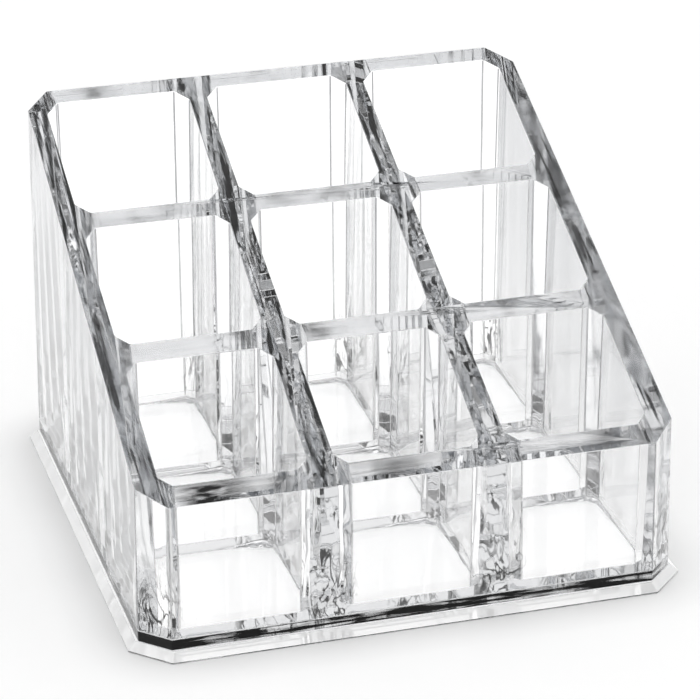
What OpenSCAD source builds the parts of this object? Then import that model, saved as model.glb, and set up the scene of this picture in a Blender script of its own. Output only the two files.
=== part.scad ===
// Clear vanity organizer: nine square cells under one slanting rim.
// Two mouldings, cemented face to face: a drafted cell block that is open at top and bottom,
// and a bevelled base plate whose top is the floor of every cell.
// Millimetres. +Z is up, the low front faces -Y, and the origin is on the table
// under the middle of the plate.

/* [Cells] */
// Number of cells from side to side
cells_x = 3; // [1:1:5]
// Number of cells from front to back
cells_y = 3; // [2:1:5]
// Clear width of a cell at its floor
cell_w = 22.88; // [18:0.02:36]
// Corner cut of a cell at its floor, measured along the wall
cell_corner = 1.64; // [0.4:0.02:4]
// Draft of the cell walls, in degrees: the cells widen upward
cell_draft = 1; // [0:0.05:1.5]

/* [Walls] */
// Wall between two cells, at the floor
divider_t = 5.22; // [4:0.02:10]
// Outer wall at the floor
wall_t = 4.8; // [3.6:0.02:10]
// Corner cut of the outside of the block, measured along the wall
block_corner = 4.46; // [1:0.02:8]
// Draft of the outside, in degrees: the block narrows upward
wall_draft = 0.66; // [0:0.02:1]

/* [Rim] */
// Height of the rim's front edge above the table
front_h = 26.2; // [14:0.1:44]
// Height of the rim's back edge above the table
back_h = 63.6; // [46:0.1:90]

/* [Base plate] */
// Height of the upright land at the foot of the bevel
land_h = 0.25; // [0.05:0.05:1]
// Height of the top of the bevel
ledge_h = 1.5; // [1.1:0.05:2.5]
// How far the bevel draws in on its way up
bevel_run = 1.35; // [0.3:0.05:3]
// Width of the flat ledge between the bevel and the step
ledge_w = 0.4; // [0.1:0.05:2]
// Width of the same ledge where it crosses a cut corner
ledge_corner_w = 0.15; // [0.05:0.05:1]
// Height of the plate's top, which is the floor of the cells
plate_h = 3.4; // [2.6:0.1:8]

/* [Hidden] */

// How far each cutting solid runs past what it cuts
cut_over = 5;

// Distance between the middles of neighbouring cells
pitch = cell_w + divider_t;

// Outside of the block at its foot, which the plate's step matches
block_w = cells_x * cell_w + (cells_x - 1) * divider_t + 2 * wall_t;
block_d = cells_y * cell_w + (cells_y - 1) * divider_t + 2 * wall_t;

// Half the depth of the block where its leaning front and back walls meet the rim's edges
front_edge_y = block_d / 2 - tan(wall_draft) * (front_h - plate_h);
back_edge_y = block_d / 2 - tan(wall_draft) * (back_h - plate_h);
rim_slope = (back_h - front_h) / (front_edge_y + back_edge_y);

// Corner cut of the plate at its ledge and at its foot. A face that crosses a corner leans like
// the sides do, so the cut grows by this share of the amount that the sides move out.
corner_gain_share = 2 - sqrt(2);
ledge_corner = block_corner + 2 * ledge_w - sqrt(2) * ledge_corner_w;
foot_corner = ledge_corner + corner_gain_share * bevel_run;

// Height of the rim's plane over a place in the block's depth
function rim_z(y) = front_h + rim_slope * (y + front_edge_y);

// A prism along Y with one leaning side on the left and one on the right. It measures `width`
// across at z_low, and each side moves out by `lean` for every unit of height.
module leaning_slab(width, length, lean, z_low, z_high) {
    half_low = width / 2;
    half_high = width / 2 + lean * (z_high - z_low);
    rotate([90, 0, 0])
        linear_extrude(length, center = true)
            polygon([
                [-half_low, z_low],
                [half_low, z_low],
                [half_high, z_high],
                [-half_high, z_high]
            ]);
}

// A block with cut corners and eight flat sides that all lean alike. Its plan at z_low measures
// width by depth, with its corners cut back by `corner` along each side.
module leaning_octagon(width, depth, corner, lean, z_low, z_high) {
    across_corners = (width + depth - 2 * corner) / sqrt(2);
    reach = 2 * (width + depth + cut_over);
    intersection() {
        leaning_slab(width, reach, lean, z_low, z_high);
        rotate([0, 0, 90]) leaning_slab(depth, reach, lean, z_low, z_high);
        rotate([0, 0, 45]) leaning_slab(across_corners, reach, lean, z_low, z_high);
        rotate([0, 0, -45]) leaning_slab(across_corners, reach, lean, z_low, z_high);
    }
}

// Everything above the rim's slanting plane
module above_rim() {
    front = -block_d / 2 - cut_over;
    back = block_d / 2 + cut_over;
    top = rim_z(back) + cut_over;
    rotate([90, 0, 90])
        linear_extrude(block_w + 2 * cut_over, center = true)
            polygon([
                [front, rim_z(front)],
                [back, rim_z(back)],
                [back, top],
                [front, top]
            ]);
}

// The hollow of one cell at the origin, from below the block to above the rim. Its floor sizes
// hold at the plate's top.
module cell_hollow() {
    lean = tan(cell_draft);
    z_low = plate_h - cut_over;
    narrowing = lean * cut_over;
    leaning_octagon(
        cell_w - 2 * narrowing,
        cell_w - 2 * narrowing,
        cell_corner - corner_gain_share * narrowing,
        lean,
        z_low,
        back_h + 2 * cut_over
    );
}

module cell_block() {
    color([0.95, 0.96, 0.98, 0.45])
        difference() {
            leaning_octagon(
                block_w,
                block_d,
                block_corner,
                -tan(wall_draft),
                plate_h,
                back_h + cut_over
            );
            above_rim();
            for (i = [0 : cells_x - 1])
                for (j = [0 : cells_y - 1])
                    translate([
                        (i - (cells_x - 1) / 2) * pitch,
                        (j - (cells_y - 1) / 2) * pitch,
                        0
                    ])
                        cell_hollow();
        }
}

// The plate: an upright land, a bevel up to the ledge, and a step that the block stands on
module base_plate() {
    ledge_x = block_w + 2 * ledge_w;
    ledge_y = block_d + 2 * ledge_w;
    foot_x = ledge_x + 2 * bevel_run;
    foot_y = ledge_y + 2 * bevel_run;
    bevel_lean = -bevel_run / (ledge_h - land_h);
    color([0.90, 0.92, 0.95, 0.45])
        union() {
            leaning_octagon(foot_x, foot_y, foot_corner, 0, 0, land_h);
            leaning_octagon(foot_x, foot_y, foot_corner, bevel_lean, land_h, ledge_h);
            leaning_octagon(block_w, block_d, block_corner, 0, 0, plate_h);
        }
}

cell_block();
base_plate();
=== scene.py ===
"""Looks for the clear vanity organizer: two polished mouldings on a white studio floor."""

import math

import bpy
from mathutils import Matrix, Vector, noise
from mathutils.geometry import tessellate_polygon


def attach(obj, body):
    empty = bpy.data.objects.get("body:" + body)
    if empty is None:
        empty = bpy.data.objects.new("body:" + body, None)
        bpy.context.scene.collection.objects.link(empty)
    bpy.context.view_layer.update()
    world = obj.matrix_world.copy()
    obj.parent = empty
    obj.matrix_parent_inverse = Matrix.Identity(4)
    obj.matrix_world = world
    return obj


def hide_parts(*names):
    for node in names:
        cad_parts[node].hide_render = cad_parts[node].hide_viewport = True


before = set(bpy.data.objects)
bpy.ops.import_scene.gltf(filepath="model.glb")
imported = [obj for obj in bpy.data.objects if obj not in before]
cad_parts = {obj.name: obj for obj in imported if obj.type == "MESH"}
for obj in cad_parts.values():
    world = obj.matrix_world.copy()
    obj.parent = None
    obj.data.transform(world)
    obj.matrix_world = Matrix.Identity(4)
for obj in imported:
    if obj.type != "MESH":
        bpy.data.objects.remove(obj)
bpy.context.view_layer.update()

MM = 0.001

# Driving sizes of the two mouldings, in metres. They repeat the frame's own.
CELLS = 3
CELL_W = 22.88 * MM
CELL_CORNER = 1.64 * MM
CELL_LEAN = math.tan(math.radians(1.0))
DIVIDER_T = 5.22 * MM
WALL_T = 4.8 * MM
BLOCK_CORNER = 4.46 * MM
BLOCK_LEAN = -math.tan(math.radians(0.66))
FRONT_H = 26.2 * MM
BACK_H = 63.6 * MM
LAND_H = 0.25 * MM
LEDGE_H = 1.5 * MM
BEVEL_RUN = 1.35 * MM
LEDGE_W = 0.4 * MM
LEDGE_CORNER_W = 0.15 * MM
PLATE_H = 3.4 * MM

# Small sizes that only the looks have
EDGE_R = 0.45 * MM
RIM_R = 0.14 * MM
SEAM_R = 0.12 * MM
PLATE_R = 0.1 * MM
SEAM_GAP = 0.03 * MM
FLOOR_GAP = 0.08 * MM
ARC_STEPS = 4
SIDE_STEPS = 16

# The cement that crept out at the foot of the cell walls: its least and greatest width and
# height, the length of its waves, and where on the way to a cell's corner or side it sets in
CREEP_W = (0.25 * MM, 1.9 * MM)
CREEP_H = (0.2 * MM, 0.9 * MM)
CREEP_WAVE = 5.5 * MM
CREEP_CORNER_START_SHARE = 0.45
CREEP_CORNER_RUN_SHARE = 0.5
CREEP_CORNER_SHARE = 0.75
CREEP_SIDE_START_SHARE = 0.8
CREEP_SIDE_GAIN = 2.5
CREEP_WAVE_GAIN = 1.3

# The camera, solved from the photograph: place, turns in degrees, and lens
CAMERA_PLACE = (-133.96 * MM, -473.30 * MM, 251.22 * MM)
CAMERA_HEADING = -16.016
CAMERA_DIP = 24.364
CAMERA_ROLL = -0.317
CAMERA_LENS = 165.8
CAMERA_SENSOR = 36
CAMERA_NEAR = 0.01

PITCH = CELL_W + DIVIDER_T
BLOCK_W = CELLS * CELL_W + (CELLS - 1) * DIVIDER_T + 2 * WALL_T
FRONT_Y = BLOCK_W / 2 + BLOCK_LEAN * (FRONT_H - PLATE_H)
BACK_Y = BLOCK_W / 2 + BLOCK_LEAN * (BACK_H - PLATE_H)
RIM_SLOPE = (BACK_H - FRONT_H) / (FRONT_Y + BACK_Y)
RIM_UP = Vector((0, -RIM_SLOPE, 1)).normalized()
UP = Vector((0, 0, 1))
DOWN = -UP

# Material slots. The first two are the same in both meshes.
CLEAR = 0
CONTACT = 1
RIM = 2
EDGE = 3
SIDE = 4
STEP = 2
BEVEL = 3

# Two unit directions count as the same above this product
SAME_WAY = 0.9999


def link(name, data):
    piece = bpy.data.objects.new(name, data)
    bpy.context.scene.collection.objects.link(piece)
    return piece


# Camera

def add_camera():
    """The photograph's view: a long lens from the left front, 24 degrees above the table."""
    camera = link("camera", bpy.data.cameras.new("camera"))
    camera.data.sensor_width = CAMERA_SENSOR
    camera.data.lens = CAMERA_LENS
    camera.data.clip_start = CAMERA_NEAR
    camera.location = CAMERA_PLACE
    heading = Matrix.Rotation(math.radians(CAMERA_HEADING), 4, "Z")
    dip = Matrix.Rotation(math.radians(90 - CAMERA_DIP), 4, "X")
    roll = Matrix.Rotation(math.radians(CAMERA_ROLL), 4, "Z")
    camera.rotation_euler = (heading @ dip @ roll).to_euler()
    bpy.context.scene.camera = camera


# Mesh code: outlines in plan, rings of points with normals, and shells made of rings

def outline(half, cut, radius, centre=(0, 0), side_steps=1):
    """A square with cut corners and every corner rounded, anticlockwise in plan. Each station is
    its place, the way it moves when all sides move out by one, and its outward normal."""
    cut_half = (2 * half - cut) / math.sqrt(2)
    eighth = math.radians(45)
    corners = []
    for k in range(8):
        near, far = (half, cut_half) if k % 2 == 0 else (cut_half, half)
        n1 = Vector((math.cos(k * eighth), math.sin(k * eighth)))
        n2 = Vector((math.cos((k + 1) * eighth), math.sin((k + 1) * eighth)))
        cross = n1.x * n2.y - n1.y * n2.x
        d1 = near - radius
        d2 = far - radius
        arc_centre = Vector((d1 * n2.y - d2 * n1.y, d2 * n1.x - d1 * n2.x)) / cross
        drift = (n1 + n2) / (1 + n1.dot(n2))
        corner = []
        for j in range(ARC_STEPS + 1):
            turn = (k + j / ARC_STEPS) * eighth
            normal = Vector((math.cos(turn), math.sin(turn)))
            corner.append((Vector(centre) + arc_centre + radius * normal, drift, normal))
        corners.append(corner)
    stations = []
    for k, corner in enumerate(corners):
        stations += corner
        last = corner[-1]
        following = corners[(k + 1) % 8][0]
        steps = side_steps if k % 2 == 1 else 1
        for j in range(1, steps):
            share = j / steps
            place = last[0].lerp(following[0], share)
            drift = last[1].lerp(following[1], share)
            stations.append((place, drift, last[2]))
    return stations


def wall_normal(station, lean, side):
    """Outward normal of a leaning wall. side is 1 for an outside and -1 for a hollow."""
    place, drift, normal = station
    return side * Vector((normal.x, normal.y, -lean * drift.dot(normal))).normalized()


def wall_at(station, lean, z_ref, z):
    place, drift, normal = station
    x, y = place + drift * lean * (z - z_ref)
    return Vector((x, y, z))


def wall_at_rim(station, lean, z_ref):
    """Where a station's wall line meets the slanting plane of the rim."""
    place, drift, normal = station
    rise = RIM_SLOPE * lean * drift.y
    z = (FRONT_H + RIM_SLOPE * (place.y + FRONT_Y) - rise * z_ref) / (1 - rise)
    return wall_at(station, lean, z_ref, z)


def round_over(corner, n1, n2, radius, hollow=False):
    """Points and normals of an arc that rounds the edge at corner, from normal n1 to normal n2.
    A hollow arc fills an inside corner."""
    sign = -1 if hollow else 1
    middle = corner - sign * radius * (n1 + n2) / (1 + n1.dot(n2))
    arc = []
    for j in range(ARC_STEPS + 1):
        normal = n1.slerp(n2, j / ARC_STEPS)
        arc.append((middle + sign * radius * normal, normal))
    return arc


def rings_of(arcs):
    """Turns one arc for each station into one ring for each step of the arc."""
    return [list(ring) for ring in zip(*arcs)]


class Shell:
    """A closed mesh that is built ring by ring, with a true normal at every point."""

    def __init__(self):
        self.points = []
        self.normals = []
        self.faces = []
        self.slots = []

    def ring(self, ring):
        first = len(self.points)
        for point, normal in ring:
            self.points.append(point)
            self.normals.append(normal)
        return list(range(first, len(self.points)))

    def face(self, corners, slot=CLEAR):
        a, b, c = (self.points[i] for i in corners[:3])
        facing = (b - a).cross(c - b)
        wanted = sum((self.normals[i] for i in corners), Vector())
        self.faces.append(corners if facing.dot(wanted) > 0 else corners[::-1])
        self.slots.append(slot)

    def skin(self, rings, slot_of):
        """Faces between neighbouring rings. slot_of gives the slot of face i above ring k.
        Returns the first and last ring's indices."""
        loops = [self.ring(r) for r in rings]
        for k, (low, high) in enumerate(zip(loops, loops[1:])):
            count = len(low)
            for i in range(count):
                j = (i + 1) % count
                self.face([low[i], low[j], high[j], high[i]], slot_of(k, i))
        return loops[0], loops[-1]

    def cap(self, loops, slot=CLEAR):
        """Fills the flat area inside the first loop and outside the others."""
        order = [i for loop in loops for i in loop]
        for triangle in tessellate_polygon([[self.points[i] for i in loop] for loop in loops]):
            self.face([order[t] for t in triangle], slot)

    def piece(self, name, materials):
        mesh = bpy.data.meshes.new(name)
        mesh.from_pydata([tuple(p) for p in self.points], [], self.faces)
        mesh.polygons.foreach_set("use_smooth", [True] * len(mesh.polygons))
        mesh.polygons.foreach_set("material_index", self.slots)
        mesh.normals_split_custom_set_from_vertices([tuple(n) for n in self.normals])
        for material in materials:
            mesh.materials.append(material)
        mesh.update()
        return link(name, mesh)


# The two mouldings

def edge_slots(stations, side_slot=CLEAR):
    """Which slot each face of a wall has: EDGE on its rounded corners, side_slot on its left and
    right, and CLEAR elsewhere."""
    slots = []
    for here, following in zip(stations, stations[1:] + stations[:1]):
        turned = here[2].dot(following[2]) < SAME_WAY
        sideways = abs(here[2].x) > SAME_WAY
        slots.append(EDGE if turned else side_slot if sideways else CLEAR)
    return lambda k, i: slots[i] if k == ARC_STEPS else CLEAR


def cell_outlines():
    """The outline of each cell at the plate's top, with its centre in plan."""
    offsets = [(i - (CELLS - 1) / 2) * PITCH for i in range(CELLS)]
    centres = [Vector((x, y)) for x in offsets for y in offsets]
    return [(c, outline(CELL_W / 2, CELL_CORNER, EDGE_R, c, SIDE_STEPS)) for c in centres]


def creep_share(place, centre):
    """How far the cement crept out here, from 0 to 1: most in the back right corner of a cell,
    and unevenly along its walls."""
    x, y = (place - centre) / (CELL_W / 2)
    corner = max(0.0, (x + y) / 2 - CREEP_CORNER_START_SHARE) / CREEP_CORNER_RUN_SHARE
    uneven = max(0.0, noise.noise(Vector((place.x, place.y, 0)) / CREEP_WAVE))
    right_or_back = max(0.0, max(x, y) - CREEP_SIDE_START_SHARE) * CREEP_SIDE_GAIN
    creep = CREEP_CORNER_SHARE * corner ** 2 + right_or_back * uneven * CREEP_WAVE_GAIN
    return min(1.0, max(0.0, creep))


def creep_profile(station, centre):
    """Hollow fillet of cement at the foot of a cell wall, from the floor up."""
    place, drift, normal = station
    share = creep_share(place, centre)
    width = CREEP_W[0] + share * (CREEP_W[1] - CREEP_W[0])
    height = CREEP_H[0] + share * (CREEP_H[1] - CREEP_H[0])
    wall = wall_normal(station, CELL_LEAN, -1)
    foot_z = PLATE_H + SEAM_GAP / 2
    profile = []
    for j in range(ARC_STEPS + 1):
        turn = math.radians(90) * j / ARC_STEPS
        inset = width * (1 - math.sin(turn))
        rise = height * (1 - math.cos(turn))
        point = wall_at(station, CELL_LEAN, PLATE_H, foot_z + rise)
        point.x -= drift.x * inset
        point.y -= drift.y * inset
        across = Vector((math.sin(turn) / width, math.cos(turn) / height)).normalized()
        profile.append((point, (UP * across.y + wall * across.x).normalized()))
    return profile


def build_block(materials):
    """The drafted nine-cell moulding, with its rim and foot edges softly rounded."""
    shell = Shell()
    foot_z = PLATE_H + SEAM_GAP / 2
    foot = []
    rim = []
    outside = outline(BLOCK_W / 2, BLOCK_CORNER, EDGE_R)
    for station in outside:
        normal = wall_normal(station, BLOCK_LEAN, 1)
        low = wall_at(station, BLOCK_LEAN, PLATE_H, foot_z)
        high = wall_at_rim(station, BLOCK_LEAN, PLATE_H)
        foot.append(round_over(low, DOWN, normal, SEAM_R))
        rim.append(round_over(high, normal, RIM_UP, RIM_R))
    under_loop, top_loop = shell.skin(rings_of(foot) + rings_of(rim), edge_slots(outside, SIDE))
    under_loops = [under_loop]
    top_loops = [top_loop]
    for centre, stations in cell_outlines():
        foot = []
        rim = []
        for station in stations:
            normal = wall_normal(station, CELL_LEAN, -1)
            high = wall_at_rim(station, CELL_LEAN, PLATE_H)
            foot.append(creep_profile(station, centre))
            rim.append(round_over(high, normal, RIM_UP, RIM_R))
        rings = rings_of(foot)
        flat = [(point, DOWN) for point, normal in rings[0]]
        under_loops.append(shell.ring(flat))
        top_loops.append(shell.skin(rings + rings_of(rim), edge_slots(stations))[1])
    shell.cap(under_loops, CONTACT)
    shell.cap(top_loops, RIM)
    return shell.piece("clear_cell_block", materials)


def build_plate(materials):
    """The bevelled plate: land, bevel, ledge and step, with its edges softly rounded."""
    shell = Shell()
    ledge_half = BLOCK_W / 2 + LEDGE_W
    foot_half = ledge_half + BEVEL_RUN
    corner_gain_share = 2 - math.sqrt(2)
    ledge_cut = BLOCK_CORNER + 2 * LEDGE_W - math.sqrt(2) * LEDGE_CORNER_W
    foot_cut = ledge_cut + corner_gain_share * BEVEL_RUN
    bevel_lean = -BEVEL_RUN / (LEDGE_H - LAND_H)
    top_z = PLATE_H - SEAM_GAP / 2
    foot = outline(foot_half, foot_cut, EDGE_R)
    step = outline(BLOCK_W / 2, BLOCK_CORNER, EDGE_R)
    columns = []
    for low, high in zip(foot, step):
        upright = wall_normal(low, 0, 1)
        slant = wall_normal(low, bevel_lean, 1)
        step_side = wall_normal(high, 0, 1)
        column = []
        column += round_over(wall_at(low, 0, 0, 0), DOWN, upright, PLATE_R)
        column += round_over(wall_at(low, 0, 0, LAND_H), upright, slant, PLATE_R)
        column += round_over(wall_at(low, bevel_lean, LAND_H, LEDGE_H), slant, UP, PLATE_R)
        column += round_over(wall_at(high, 0, 0, LEDGE_H), UP, step_side, PLATE_R / 2, hollow=True)
        column += round_over(wall_at(high, 0, 0, top_z), step_side, UP, PLATE_R)
        columns.append(column)
    rings = rings_of(columns)
    land_ring = ARC_STEPS
    bevel_ring = 2 * (ARC_STEPS + 1) - 1
    step_ring = 4 * (ARC_STEPS + 1) - 1
    # The land and the step share the plate side's painted shade; along the land it is a painted contact
    # shadow.
    slots = {land_ring: STEP, bevel_ring: BEVEL, step_ring: STEP}
    under_loop, top_loop = shell.skin(rings, lambda k, i: slots.get(k, CLEAR))
    shell.cap([under_loop])
    floor_loops = []
    for centre, stations in cell_outlines():
        edges = [creep_profile(station, centre)[0][0] for station in stations]
        floor_loops.append(shell.ring([(Vector((p.x, p.y, top_z)), UP) for p in edges]))
        shell.cap([floor_loops[-1]])
    shell.cap([top_loop] + floor_loops, CONTACT)
    return shell.piece("clear_base_plate", materials)


# Node trees, written as formulas

class Graph:
    """An empty node tree. Each call adds one node and returns its output."""

    def __init__(self, owner):
        owner.use_nodes = True
        self.tree = owner.node_tree
        self.tree.nodes.clear()

    def node(self, kind, *values, **settings):
        """Adds a node. Values fill its sockets in order, and None leaves a socket as it is."""
        made = self.tree.nodes.new(kind)
        for name, value in settings.items():
            setattr(made, name, value)
        for socket, value in zip(made.inputs, values):
            self.fill(socket, value)
        return made

    def fill(self, socket, value):
        if isinstance(value, bpy.types.NodeSocket):
            self.tree.links.new(value, socket)
        elif value is not None:
            socket.default_value = value

    def math(self, operation, *values):
        return self.node("ShaderNodeMath", *values, operation=operation).outputs[0]

    def ramp(self, value, start, end, low=0.0, high=1.0):
        """A smooth step from low at start to high at end."""
        return self.node("ShaderNodeMapRange", value, start, end, low, high,
                         interpolation_type="SMOOTHSTEP").outputs[0]

    def product(self, *values):
        made = values[0]
        for value in values[1:]:
            made = self.math("MULTIPLY", made, value)
        return made

    def mix(self, share, low, high):
        made = self.node("ShaderNodeMix", data_type="FLOAT")
        self.fill(made.inputs[0], share)
        self.fill(made.inputs[2], low)
        self.fill(made.inputs[3], high)
        return made.outputs[0]

    def noise(self, place, wave, detail=2.0, distortion=0.0):
        """Noise about 0 whose waves are about `wave` long along X, Y and Z."""
        per_wave = tuple(1 / w for w in wave)
        scaled = self.node("ShaderNodeVectorMath", place, per_wave, operation="MULTIPLY")
        made = self.node("ShaderNodeTexNoise", scaled.outputs[0])
        made.inputs["Scale"].default_value = 1
        made.inputs["Detail"].default_value = detail
        made.inputs["Distortion"].default_value = distortion
        return self.math("SUBTRACT", made.outputs[0], 0.5)

    def output(self, kind, shader):
        self.tree.links.new(shader, self.tree.nodes.new(kind).inputs[0])


# Clear plastic

IOR = 1.59
TINT = (0.0, 0.04, 0.1)
BLOCK_DENSITY = 2.5
PLATE_DENSITY = 1.5

# Roughness of the long outer sides and of the bevel, how clear the bevel is (the rest of it is
# near-white colour that paints a reflection), and how much of their surface gleam the rim and the step
# keep
SIDE_ROUGHNESS = 0.06
BEVEL_ROUGHNESS = 0.03
BEVEL_CLEAR_SHARE = 0.3
RIM_GLEAM_SHARE = 0.25

# Distances from a cell's middle between which the patterns of columns and of the rim set in, the
# reach from the block's middle within which the cement is uneven, and the heights over which the
# patterns at the foot of the columns fade
COLUMN_FADE = (9 * MM, 12 * MM)
STREAK_FADE = (8 * MM, 11 * MM)
CEMENT_REACH = (39.5 * MM, 38 * MM)
SWIRL_FADE = (22 * MM, 6 * MM)
CURL_FADE = (19 * MM, 8 * MM)

# Wave lengths of the patterns along X, Y and Z. The contact lies in one plane.
CEMENT_WAVE = (2 * MM, 4 * MM, 1.0)
FLOW_WAVE = (5 * MM, 5 * MM, 40 * MM)
SWIRL_WAVE = (2.6 * MM, 2.6 * MM, 8 * MM)
CURL_WAVE = (2.4 * MM, 2.4 * MM, 7 * MM)
SWELL_WAVE = (24 * MM, 24 * MM, 24 * MM)
LINE_WAVE = (0.45 * MM, 14 * MM, 14 * MM)
FINE_STREAK_WAVE = (0.4 * MM, 22 * MM, 22 * MM)
BROAD_STREAK_WAVE = (2.6 * MM, 11 * MM, 11 * MM)
SLOW_SHADE_WAVE = (9 * MM, 9 * MM, 9 * MM)
CROSSWISE_WAVE = (18 * MM, 0.7 * MM, 0.7 * MM)
BLOTCH_WAVE = (4 * MM, 1.2 * MM, 1.2 * MM)
STEP_STREAK_WAVE = (12 * MM, 12 * MM, 0.55 * MM)
STEP_PATCH_WAVE = (7 * MM, 7 * MM, 5 * MM)
EDGE_WAVE = (4 * MM, 4 * MM, 9 * MM)
SIDE_WAVE = (6 * MM, 6 * MM, 60 * MM)
BEVEL_WAVE = (12 * MM, 12 * MM, 0.6 * MM)

# Heights of the waves
FLOW = 0.003 * MM
RIPPLE = 0.5 * MM
RIM_LINES = 0.004 * MM
RIM_SWELL = 0.08 * MM

# The painted shade at the left end of the front rim: its middle from side to side, the distances from
# there over which it fades, and the depth at which the front rim sets in
FRONT_SHADE_X = -33 * MM
FRONT_SHADE_FADE = (8 * MM, 2 * MM)
FRONT_RIM_FADE = (-40 * MM, -41 * MM)

# Where the step's right and back sides set in, from the middle
FAR_STEP_FADE = (42 * MM, 44 * MM)

# The noise above which the cement has not run, how softly that sets in, and how dark the line
# along it is
CEMENT_EDGE = 0.05
CEMENT_SOFT = 0.01
CEMENT_DARK_SHARE = 0.6

# How much the finer noise adds to the broader one, and how clear the step's right and back are under
# the painted shade
FINE_STREAK_SHARE = 0.9
CROSSWISE_SHARE = 0.25
STEP_PATCH_SHARE = 0.7
FAR_STEP_CLEAR_SHARE = 0.95

# How noise becomes grey: the noise at both ends of a ramp and, except for lines, the grey there
CEMENT_LINE_RAMP = (0.045, 0.01)
CURL_LINE_RAMP = (0.045, 0.012)
RIM_STREAK_RAMP = (-0.24, -0.03, 0.02, 1.0)
RIM_SLOW_SHADE_RAMP = (-0.24, 0.02, 0.12, 1.0)
BLOTCH_RAMP = (-0.25, 0.05, 0.2, 1.0)
STEP_STREAK_RAMP = (0.03, 0.3, 0.0, 0.9)
EDGE_RAMP = (-0.3, 0.3, 0.35, 0.7)
SIDE_RAMP = (-0.25, 0.25, 0.78, 0.88)
BEVEL_RAMP = (-0.3, 0.3, 0.97, 1.0)


def from_cell_middle(graph, along):
    """Distance from the middle line of the nearest cell, along X or Y."""
    cell = graph.math("ROUND", graph.math("DIVIDE", along, PITCH))
    return graph.math("ABSOLUTE", graph.math("SUBTRACT", along, graph.product(cell, PITCH)))


def inside_outer_wall(graph, place):
    """1 well inside the outer walls and 0 under them."""
    x, y, z = graph.node("ShaderNodeSeparateXYZ", place).outputs
    reach = graph.math("MAXIMUM", graph.math("ABSOLUTE", x), graph.math("ABSOLUTE", y))
    return graph.ramp(reach, *CEMENT_REACH)


def at_columns(graph, place):
    """1 at the solid columns where walls cross, and 0 along the middle of each cell's walls."""
    x, y, z = graph.node("ShaderNodeSeparateXYZ", place).outputs
    from_x = graph.ramp(from_cell_middle(graph, x), *COLUMN_FADE)
    from_y = graph.ramp(from_cell_middle(graph, y), *COLUMN_FADE)
    return graph.product(from_x, from_y)


def cemented_face():
    """The contact of the two mouldings. Light crosses it without bending where the cement has
    run, and meets a thin film of air in patches with a dark edge where it hasn't."""
    material = bpy.data.materials.new("cemented_face")
    graph = Graph(material)
    place = graph.node("ShaderNodeTexCoord").outputs["Object"]
    patch = graph.noise(place, CEMENT_WAVE, 1.5)
    uneven = graph.product(at_columns(graph, place), inside_outer_wall(graph, place))
    inside = graph.ramp(patch, CEMENT_EDGE, CEMENT_EDGE + CEMENT_SOFT)
    open_share = graph.product(inside, uneven)
    from_edge = graph.math("ABSOLUTE", graph.math("SUBTRACT", patch, CEMENT_EDGE))
    line = graph.product(graph.ramp(from_edge, *CEMENT_LINE_RAMP), uneven)
    clear = graph.math("SUBTRACT", 1.0, graph.product(line, CEMENT_DARK_SHARE))
    colour = graph.node("ShaderNodeCombineColor", clear, clear, clear)
    joined = graph.node("ShaderNodeBsdfTransparent", colour.outputs[0])
    apart = graph.node("ShaderNodeBsdfGlass", (1, 1, 1, 1), 0.0, IOR)
    both = graph.node("ShaderNodeMixShader", open_share, joined.outputs[0], apart.outputs[0])
    graph.output("ShaderNodeOutputMaterial", both.outputs[0])
    return material


def wall_waves(graph, place):
    """Mould flow lines that run up the walls, and swirls at the foot of the solid columns,
    where the cement softened them."""
    x, y, z = graph.node("ShaderNodeSeparateXYZ", place).outputs
    flow = graph.noise(place, FLOW_WAVE, 0.0)
    swirl = graph.noise(place, SWIRL_WAVE, 0.0, 0.6)
    near_foot = graph.product(at_columns(graph, place), graph.ramp(z, *SWIRL_FADE))
    height = graph.product(flow, FLOW)
    foot = graph.product(swirl, near_foot, RIPPLE)
    return graph.math("ADD", height, foot)


def column_painted_shade(graph, place):
    """How clear the walls are: clear, but for dark curls of painted shade near the feet of the columns.
    """
    x, y, z = graph.node("ShaderNodeSeparateXYZ", place).outputs
    from_line = graph.math("ABSOLUTE", graph.noise(place, CURL_WAVE, 2.0, 1.2))
    near_foot = graph.product(at_columns(graph, place), graph.ramp(z, *CURL_FADE))
    dark = graph.product(graph.ramp(from_line, *CURL_LINE_RAMP), near_foot)
    return graph.math("SUBTRACT", 1.0, dark)


def rim_waves(graph, place):
    """Slow swells of the rim, and fine polishing lines from front to back over the walls that
    run that way."""
    x, y, z = graph.node("ShaderNodeSeparateXYZ", place).outputs
    swell = graph.noise(place, SWELL_WAVE, 1.0)
    lines = graph.noise(place, LINE_WAVE, 2.0)
    over_wall = graph.ramp(from_cell_middle(graph, x), *COLUMN_FADE)
    return graph.math("ADD", graph.product(swell, RIM_SWELL), graph.product(lines, over_wall, RIM_LINES))


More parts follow.
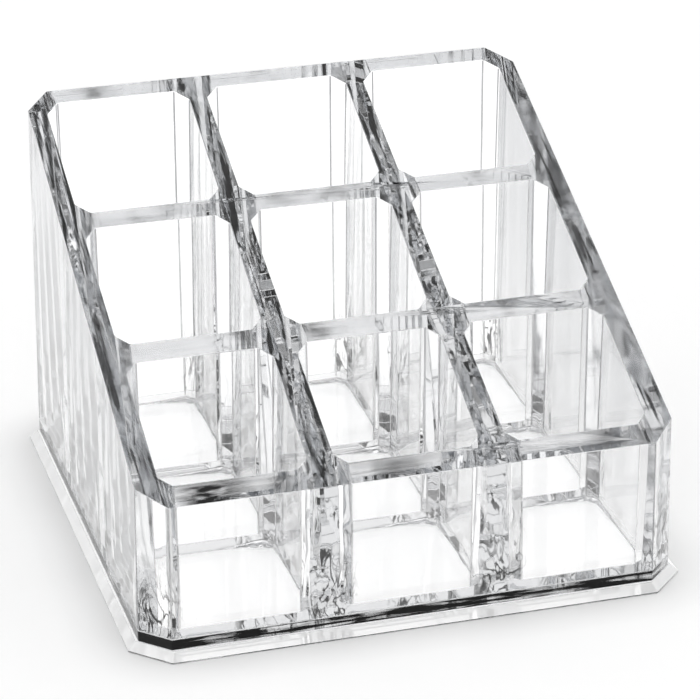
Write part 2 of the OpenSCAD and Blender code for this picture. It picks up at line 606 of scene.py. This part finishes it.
def rim_painted_shade(graph, place):
    """How clear the rim is: painted shade, as dark streaks from front to back over the walls that run
    that way, and slow dark patches over the others, darkest at the left end of the front rim."""
    x, y, z = graph.node("ShaderNodeSeparateXYZ", place).outputs
    fine = graph.noise(place, FINE_STREAK_WAVE, 3.0)
    broad = graph.noise(place, BROAD_STREAK_WAVE, 1.0, 0.8)
    streak = graph.math("ADD", graph.product(fine, FINE_STREAK_SHARE), broad)
    streaks = graph.ramp(streak, *RIM_STREAK_RAMP)
    slow = graph.noise(place, SLOW_SHADE_WAVE, 2.0)
    crosswise = graph.noise(place, CROSSWISE_WAVE, 2.0)
    slow_shade = graph.math("ADD", slow, graph.product(crosswise, CROSSWISE_SHARE))
    slow_shades = graph.ramp(slow_shade, *RIM_SLOW_SHADE_RAMP)
    from_front_shade = graph.math("ABSOLUTE", graph.math("SUBTRACT", x, FRONT_SHADE_X))
    front_end = graph.product(graph.ramp(from_front_shade, *FRONT_SHADE_FADE), graph.ramp(y, *FRONT_RIM_FADE))
    blotch = graph.ramp(graph.noise(place, BLOTCH_WAVE, 2.0), *BLOTCH_RAMP)
    slow_shades = graph.product(slow_shades, graph.math("SUBTRACT", 1.0, graph.product(front_end, blotch)))
    over_wall = graph.ramp(from_cell_middle(graph, x), *STREAK_FADE)
    return graph.mix(over_wall, slow_shades, streaks)


def step_painted_shade(graph, place):
    """How clear the plate's side is: long dark streaks of painted shade along its front and left, and
    nearly clear at its right and back, so that the light comes in."""
    streak = graph.noise(place, STEP_STREAK_WAVE, 3.0)
    patch = graph.noise(place, STEP_PATCH_WAVE, 1.0)
    mixed = graph.math("ADD", streak, graph.product(patch, STEP_PATCH_SHARE))
    clear = graph.ramp(mixed, *STEP_STREAK_RAMP)
    x, y, z = graph.node("ShaderNodeSeparateXYZ", place).outputs
    far_side = graph.ramp(graph.math("MAXIMUM", x, y), *FAR_STEP_FADE)
    return graph.mix(far_side, clear, FAR_STEP_CLEAR_SHARE)


def edge_painted_shade(graph, place):
    """How clear a rounded upright edge is: painted grey shade for the light that it sends aside."""
    return graph.ramp(graph.noise(place, EDGE_WAVE), *EDGE_RAMP)


def side_painted_shade(graph, place):
    """How clear the long outer sides are: faint upright streaks of painted shade under their flow lines.
    """
    return graph.ramp(graph.noise(place, SIDE_WAVE, 1.0), *SIDE_RAMP)


def bevel_painted_reflection(graph, place):
    """How pale the bevel is: near-white colour that paints the studio's reflection, with a breath of
    grey along its length.
    """
    return graph.ramp(graph.noise(place, BEVEL_WAVE, 2.0), *BEVEL_RAMP)


def clear_plastic(name, density, waves=None, grey=None, roughness=0.0, gleam=1.0, clear_share=1.0):
    """Clear polished plastic, with a faint tint that deepens along the light's way."""
    material = bpy.data.materials.new(name)
    graph = Graph(material)
    shader = graph.node("ShaderNodeBsdfPrincipled")
    shader.inputs["Base Color"].default_value = (1, 1, 1, 1)
    shader.inputs["Roughness"].default_value = roughness
    shader.inputs["IOR"].default_value = IOR
    shader.inputs["Transmission Weight"].default_value = clear_share
    shader.inputs["Specular Tint"].default_value = (gleam, gleam, gleam, 1)
    place = graph.node("ShaderNodeTexCoord").outputs["Object"]
    if waves:
        bump = graph.node("ShaderNodeBump")
        bump.inputs["Strength"].default_value = 1
        bump.inputs["Distance"].default_value = 1
        graph.fill(bump.inputs["Height"], waves(graph, place))
        graph.fill(shader.inputs["Normal"], bump.outputs[0])
    # grey paints shade, or on the bevel a white reflection, into the base colour.
    if grey:
        share = grey(graph, place)
        colour = graph.node("ShaderNodeCombineColor", share, share, share)
        graph.fill(shader.inputs["Base Color"], colour.outputs[0])
    volume = graph.node("ShaderNodeVolumeAbsorption", (*TINT, 1), density)
    graph.node("ShaderNodeOutputMaterial", shader.outputs[0], volume.outputs[0])
    return material


# Studio

# The floor's reach to every side, and how white it is
FLOOR_HALF = 3.0
FLOOR_GREY_SHARE = 0.85

# The floor's own glow, as the camera sees it and as the plastic shows it
FLOOR_GLOW = 0.165
FLOOR_LIFT = 0.42

# The soft shadow where the object stands: its reach and how dark it gets
SHADOW_REACH = 11 * MM
SHADOW_DEPTH_SHARE = 0.5
SHADOW_SAMPLES = 16

# What surrounds the object in the studio, as the plastic bends it into view: soft-edged areas,
# each with its heading from straight behind, half width, low and high edge, all in degrees, and
# its brightness. A later area covers the earlier ones.
AROUND = 0.86
EDGE_SOFT = 0.7
AREAS = {
    "camera side": (180, 55, -10, 33, 0.0),
    "softbox overhead": (25, 85, 50, 78, 1.4),
    "ceiling in front": (170, 60, 56.4, 95, 0.0),
    "front right": (135, 22, 44, 56, 0.7),
    "right flag": (100, 15, 36, 47, 0.15),
    "left flag": (300, 20, 18, 45, 0.1),
    "gap over the sweep": (15, 50, 32.5, 44.5, 0.1),
    "strip behind": (5, 50, 25.5, 31, 1.0),
    "seam of the strip": (3, 6.5, 27, 32, 0.45),
    "horizon behind": (5, 50, 15, 24.5, 0.03),
}


def ray_kinds(graph):
    """Whether the camera sees this ray's end directly, and whether it sees it through or off
    clear plastic. Both are 0 for rays that only light the floor."""
    path = graph.node("ShaderNodeLightPath")
    bent = graph.math("MAXIMUM", path.outputs["Is Glossy Ray"], path.outputs["Is Transmission Ray"])
    unscattered = graph.math("LESS_THAN", path.outputs["Diffuse Depth"], 0.5)
    return path.outputs["Is Camera Ray"], graph.product(bent, unscattered)


def add_floor():
    """A white sweep that keeps the object's soft shadow."""
    half = FLOOR_HALF
    z = -FLOOR_GAP
    mesh = bpy.data.meshes.new("studio_floor")
    corners = [(-half, -half, z), (half, -half, z), (half, half, z), (-half, half, z)]
    mesh.from_pydata(corners, [], [(0, 1, 2, 3)])
    material = bpy.data.materials.new("studio_floor")
    graph = Graph(material)
    by_camera, in_plastic = ray_kinds(graph)
    near = graph.node("ShaderNodeAmbientOcclusion", None, SHADOW_REACH, samples=SHADOW_SAMPLES)
    open_share = graph.mix(SHADOW_DEPTH_SHARE, 1.0, near.outputs["AO"])
    shade = graph.mix(by_camera, 1.0, open_share)
    grey = graph.product(shade, FLOOR_GREY_SHARE)
    colour = graph.node("ShaderNodeCombineColor", grey, grey, grey)
    diffuse = graph.node("ShaderNodeBsdfDiffuse", colour.outputs[0])
    seen_directly = graph.product(by_camera, open_share, FLOOR_GLOW)
    lift = graph.math("ADD", seen_directly, graph.product(in_plastic, FLOOR_LIFT))
    glow = graph.node("ShaderNodeEmission", (1, 1, 1, 1), lift)
    both = graph.node("ShaderNodeAddShader", diffuse.outputs[0], glow.outputs[0])
    graph.output("ShaderNodeOutputMaterial", both.outputs[0])
    mesh.materials.append(material)
    link("studio_floor", mesh)


def up_at(degrees):
    """How far a direction this high above the floor goes up."""
    return math.sin(math.radians(degrees))


def along_at(degrees):
    """How far a level direction this far beside an area's heading goes along it."""
    return math.cos(math.radians(degrees))


def area_share(graph, x, y, z, heading, half_width, low, high):
    """1 inside an area of the surroundings and 0 outside it, with soft edges."""
    share = graph.ramp(z, up_at(low - EDGE_SOFT), up_at(low + EDGE_SOFT))
    if high < 90:
        share = graph.product(share, graph.ramp(z, up_at(high + EDGE_SOFT), up_at(high - EDGE_SOFT)))
    turn = math.radians(heading)
    along = graph.math("ADD", graph.product(x, math.sin(turn)), graph.product(y, math.cos(turn)))
    flat = graph.math("SQRT", graph.math("ADD", graph.product(x, x), graph.product(y, y)))
    sides = graph.ramp(graph.math("DIVIDE", along, flat),
                       along_at(half_width + EDGE_SOFT), along_at(half_width - EDGE_SOFT))
    return graph.product(share, sides)


def add_world():
    """White for the camera and for the floor's light, and the studio's areas in the plastic."""
    world = bpy.data.worlds.new("studio")
    bpy.context.scene.world = world
    graph = Graph(world)
    coordinates = graph.node("ShaderNodeTexCoord")
    x, y, z = graph.node("ShaderNodeSeparateXYZ", coordinates.outputs["Generated"]).outputs
    seen = AROUND
    for heading, half_width, low, high, brightness in AREAS.values():
        share = area_share(graph, x, y, z, heading, half_width, low, high)
        seen = graph.mix(share, seen, brightness)
    by_camera, in_plastic = ray_kinds(graph)
    strength = graph.mix(in_plastic, 1.0, seen)
    background = graph.node("ShaderNodeBackground", (1, 1, 1, 1), strength)
    graph.output("ShaderNodeOutputWorld", background.outputs[0])


add_camera()
bpy.context.scene.view_settings.view_transform = "Standard"
add_floor()
add_world()

contact = cemented_face()
# The block's walls, rim, upright edges and long sides carry painted shade in their colour.
block = build_block([
    clear_plastic("clear_block", BLOCK_DENSITY, wall_waves, column_painted_shade),
    contact,
    clear_plastic("clear_block_rim", BLOCK_DENSITY, rim_waves, rim_painted_shade, gleam=RIM_GLEAM_SHARE),
    clear_plastic("clear_block_edge", BLOCK_DENSITY, None, edge_painted_shade),
    clear_plastic("clear_block_side", BLOCK_DENSITY, wall_waves, side_painted_shade, SIDE_ROUGHNESS),
])
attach(block, "root")
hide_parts("cell_block")

# The plate's step and land carry painted shade and a painted contact shadow, and its bevel a painted
# white reflection.
plate = build_plate([
    clear_plastic("clear_plate", PLATE_DENSITY),
    contact,
    clear_plastic("clear_plate_step", PLATE_DENSITY, None, step_painted_shade, gleam=RIM_GLEAM_SHARE),
    clear_plastic("clear_plate_bevel", PLATE_DENSITY, None, bevel_painted_reflection, BEVEL_ROUGHNESS,
                  clear_share=BEVEL_CLEAR_SHARE),
])
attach(plate, "root")
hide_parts("base_plate")

# Light has to find its way through many walls, and it isn't blurred on the way
LIGHT_STEPS = 64
cycles = bpy.context.scene.cycles
cycles.max_bounces = LIGHT_STEPS
cycles.transmission_bounces = LIGHT_STEPS
cycles.glossy_bounces = LIGHT_STEPS
cycles.transparent_max_bounces = LIGHT_STEPS
cycles.blur_glossy = 0
